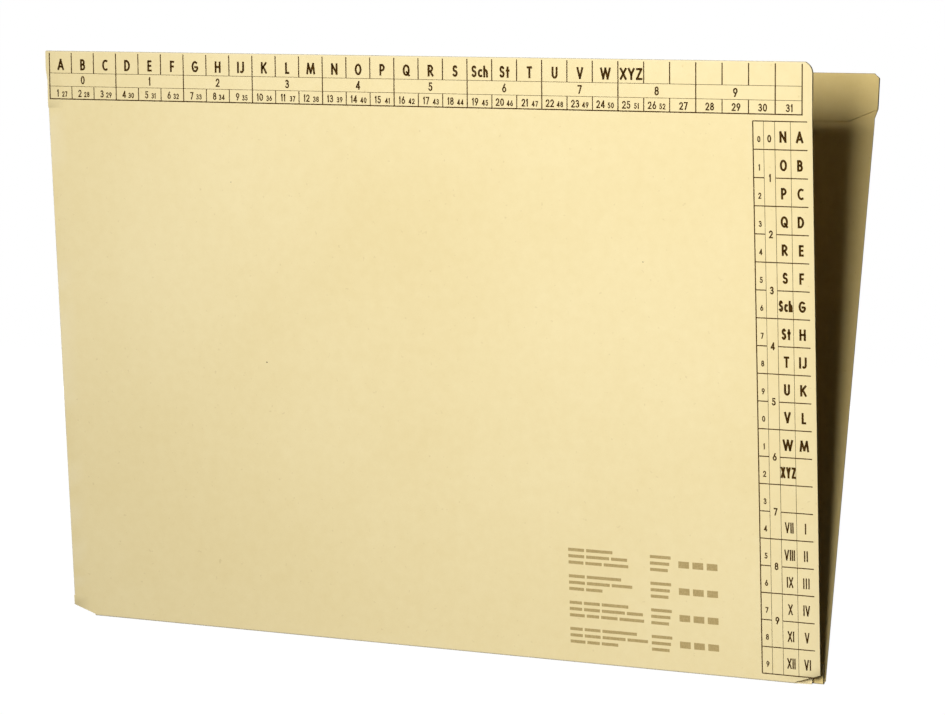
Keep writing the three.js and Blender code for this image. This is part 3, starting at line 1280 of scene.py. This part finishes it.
@dataclass(frozen=True)
class ManilaCard:
    """Uncoated manila card: soft tone changes, fine fibres, small flecks, and paler worn folds.

    Inside the pocket the card's colour is multiplied darker and warmer, as painted shade.
    """

    light: Colour = tone(246, 229, 178)
    deep: Colour = tone(240, 221, 166)
    fleck: Colour = tone(196, 168, 106)
    worn: Colour = tone(250, 236, 196)
    # Painted shade for the faces inside the pocket, multiplied into the card's colour.
    unbleached: Colour = (1.0, 0.92, 0.68, 1.0)
    roughness: float = 0.62

    def material(self) -> bpy.types.Material:
        """Build the material."""
        nodes = Nodes("manila_card")
        place = nodes.coordinates("Object")
        blank = nodes.node("ShaderNodeUVMap", {"uv_map": "blank"}, {}).outputs[0]
        cloud = nodes.noise(place, 9.0, 3.0, 0.5)
        mottle = nodes.noise(place, 260.0, 4.0, 0.6)
        fibre = nodes.noise(nodes.scaled(blank, (900.0, 3200.0, 1.0)), 1.0, 4.0, 0.65)
        cross = nodes.noise(nodes.scaled(blank, (2600.0, 700.0, 1.0)), 1.0, 3.0, 0.6)
        grain = fibre * 0.5 + cross * 0.5
        flecks = nodes.ramp(nodes.noise(place, 620.0, 2.0, 0.5), 0.70, 0.76)
        crease = nodes.value("ShaderNodeAttribute", {"attribute_name": "crease"}, {}, "Fac")
        tonal = nodes.ramp(cloud * 0.5 + mottle * 0.3 + grain * 0.2, 0.38, 0.62)
        colour = nodes.mixed(tonal, self.deep, self.light)
        colour = nodes.mixed(flecks * 0.22, colour, self.fleck)
        colour = nodes.mixed(crease * grain * 0.8, colour, self.worn)
        inside = nodes.value("ShaderNodeAttribute", {"attribute_name": "inside"}, {}, "Fac")
        # Painted shade: faces that look into the pocket are multiplied darker and warmer.
        colour = nodes.mixed(inside, colour, self.unbleached, "MULTIPLY")
        rough = self.roughness + 0.22 * grain + crease * 0.05
        height = grain * 0.6 + mottle * 0.4
        nodes.feed(nodes.shader.inputs["Base Color"], colour)
        nodes.feed(nodes.shader.inputs["Roughness"], rough)
        nodes.feed(nodes.shader.inputs["Normal"], nodes.bump(height, 0.00004, 0.5))
        nodes.shader.inputs["Specular IOR Level"].default_value = 0.2
        return nodes.material


@dataclass(frozen=True)
class PrintedInk:
    """Brown printing ink, soaked into the card so that its solid parts are a little uneven."""

    name: str = "index_ink"
    full: Colour = tone(58, 36, 3)
    thin: Colour = tone(86, 58, 12)
    roughness: float = 0.7

    def material(self) -> bpy.types.Material:
        """Build the material."""
        nodes = Nodes(self.name)
        place = nodes.coordinates("Object")
        soaked = nodes.noise(place, 1800.0, 3.0, 0.6)
        colour = nodes.mixed(nodes.ramp(soaked, 0.4, 0.68), self.full, self.thin)
        nodes.feed(nodes.shader.inputs["Base Color"], colour)
        nodes.feed(nodes.shader.inputs["Roughness"], self.roughness + 0.2 * soaked)
        nodes.shader.inputs["Specular IOR Level"].default_value = 0.08
        return nodes.material


def dress(piece: bpy.types.Object, material: bpy.types.Material) -> None:
    """Give a piece its only material."""
    piece.data.materials.clear()
    piece.data.materials.append(material)


@dataclass
class Studio:
    """Floor, backdrop, lights and camera.

    The camera's distance, turns and target were fitted to the ruled index and the card's corners.
    """

    focal_pixels: float = 3519.0
    frame_width: int = 945
    sensor: float = 36.0
    azimuth: float = 26.157
    elevation: float = 3.165
    roll: float = 1.679
    distance: float = 1320.0
    target: Triple = (13.37, 0.06, 110.39)
    floor_radius: float = 2.6
    sweep_radius: float = 0.8
    backdrop_height: float = 0.6
    paper: Colour = (0.09, 0.09, 0.09, 1.0)
    paper_glow: float = 1.25
    paper_glow_share: float = 0.8
    room_level: float = 0.004
    lights: tuple[tuple[str, Triple, Triple, Pair, float], ...] = (
        ("key", (0.1, -0.95, 0.31), (0.4, 0.0, 0.09), (0.44, 0.46), 10.5),
        ("rear", (-1.2, 1.5, 0.4), (0.0, 0.0, 0.1), (1.0, 0.7), 14.0),
        ("low_rear", (-0.7, 1.25, 0.08), (0.0, 0.03, 0.11), (0.9, 0.22), 17.0),
    )

    def camera(self) -> None:
        """Place the camera."""
        turn_cos, turn_sin = radial(self.azimuth)
        rise_cos, rise_sin = radial(self.elevation)
        roll_cos, roll_sin = radial(self.roll)
        away = Vector((turn_sin * rise_cos, -turn_cos * rise_cos, rise_sin))
        right = Vector((turn_cos, turn_sin, 0.0))
        up = away.cross(right)
        right, up = right * roll_cos + up * roll_sin, up * roll_cos - right * roll_sin
        data = bpy.data.cameras.new("camera")
        data.sensor_width = self.sensor
        data.lens = self.focal_pixels * self.sensor / self.frame_width
        data.clip_start, data.clip_end = 0.05, 100.0
        camera = bpy.data.objects.new("camera", data)
        place = Vector(self.target) * MM + away * (self.distance * MM)
        turned = Matrix((right, up, away)).transposed().to_4x4()
        camera.matrix_world = Matrix.Translation(place) @ turned
        bpy.context.scene.collection.objects.link(camera)
        bpy.context.scene.camera = camera

    def sweep(self) -> None:
        """Lay out the pale paper that makes the floor and curves up into the backdrop all round."""
        select_only()
        bpy.ops.mesh.primitive_circle_add(vertices=96, radius=1.0, fill_type="TRIFAN")
        sweep = bpy.context.object
        sweep.name = "paper_sweep"
        bpy.ops.object.mode_set(mode="EDIT")
        bpy.ops.mesh.select_all(action="SELECT")
        bpy.ops.transform.resize(value=(self.floor_radius,) * 3)
        bpy.ops.object.mode_set(mode="OBJECT")
        for edge in sweep.data.edges:
            edge.select = self.on_rim(sweep.data, edge)
        for polygon in sweep.data.polygons:
            polygon.select = False
        self.raise_rim(sweep)
        nodes = Nodes("paper_white")
        nodes.shader.inputs["Base Color"].default_value = self.paper
        nodes.shader.inputs["Roughness"].default_value = 0.95
        nodes.shader.inputs["Specular IOR Level"].default_value = 0.0
        glow = nodes.node("ShaderNodeEmission", {}, {"Strength": self.paper_glow})
        seen = nodes.value("ShaderNodeLightPath", {}, {}, "Is Camera Ray")
        inputs = {0: seen * self.paper_glow_share, 1: nodes.shader.outputs[0], 2: glow.outputs[0]}
        mixed = nodes.node("ShaderNodeMixShader", {}, inputs)
        nodes.feed(nodes.output.inputs["Surface"], mixed.outputs[0])
        dress(sweep, nodes.material)

    def on_rim(self, mesh: bpy.types.Mesh, edge: bpy.types.MeshEdge) -> bool:
        """Return whether an edge lies on the rim of the round floor."""
        return all(mesh.vertices[at].co.length > 0.9 * self.floor_radius for at in edge.vertices)

    def raise_rim(self, sweep: bpy.types.Object) -> None:
        """Extrude the rim outwards and up in a quarter circle, and then straight up.

        The floor's fan is extruded with its rim, so a lid of paper closes the top of the backdrop.
        """
        select_only(sweep)
        bpy.ops.object.mode_set(mode="EDIT")
        bpy.context.tool_settings.mesh_select_mode = (False, True, False)
        steps = 10
        radius = self.floor_radius
        for step in range(1, steps + 1):
            before, after = radial(90 * (step - 1) / steps), radial(90 * step / steps)
            grown = self.floor_radius + self.sweep_radius * after[1]
            rise = self.sweep_radius * (before[0] - after[0])
            self.extrude(grown / radius, rise)
            radius = grown
        self.extrude(1.0, self.backdrop_height)
        bpy.ops.object.mode_set(mode="OBJECT")
        bpy.ops.object.shade_smooth()

    def extrude(self, growth: float, rise: float) -> None:
        """Extrude what is selected upwards, and then widen it."""
        bpy.ops.mesh.extrude_region_move(TRANSFORM_OT_translate={"value": (0.0, 0.0, rise)})
        bpy.ops.transform.resize(value=(growth, growth, 1.0), center_override=(0.0, 0.0, 0.0))

    def light(
        self,
        name: str,
        place: Triple,
        aim: Triple,
        size: Pair,
        power: float,
    ) -> None:
        """Hang a soft light.

        Args:
            name: The name of the light.
            place: Its place in metres.
            aim: The point that it faces, in metres.
            size: Its width and height in metres.
            power: Its power in watts.
        """
        data = bpy.data.lights.new(name, "AREA")
        data.shape = "RECTANGLE"
        data.size, data.size_y = size
        data.energy = power
        light = bpy.data.objects.new(name, data)
        facing = (Vector(aim) - Vector(place)).to_track_quat("-Z", "Y").to_matrix().to_4x4()
        light.matrix_world = Matrix.Translation(place) @ facing
        light.visible_camera = False
        bpy.context.scene.collection.objects.link(light)

    def world(self, level: float) -> None:
        """Fill the room with a faint even light."""
        world = bpy.data.worlds.new("room")
        world.use_nodes = True
        background = world.node_tree.nodes["Background"]
        background.inputs["Color"].default_value = (1.0, 1.0, 1.0, 1.0)
        background.inputs["Strength"].default_value = level
        bpy.context.scene.world = world

    def build(self) -> None:
        """Set up everything round the folder."""
        bpy.context.scene.view_settings.view_transform = "Standard"
        self.camera()
        self.sweep()
        for name, place, aim, size, power in self.lights:
            self.light(name, place, aim, size, power)
        self.world(self.room_level)


def main() -> None:
    """Build the folder and the studio, in order."""
    logging.basicConfig(level=logging.INFO, format="%(name)s: %(message)s")
    sheet = FolderCard()
    card = sheet.build()
    dress(card, ManilaCard().material())
    LOG.info("card: %d faces", len(card.data.polygons))
    index = Index(sheet, Lettering())
    ink = PrintedInk().material()
    for piece in index.build():
        dress(piece, ink)
        LOG.info("%s: %d faces", piece.name, len(piece.data.polygons))
    notes = Notes(index).build()
    dress(notes, PrintedInk("note_ink", tone(178, 156, 104), tone(196, 174, 122)).material())
    specks = Specks(index).build()
    dress(specks, ink)
    LOG.info("notes and specks: %d faces", len(notes.data.polygons) + len(specks.data.polygons))
    Studio().build()


if __name__ == "__main__":
    main()
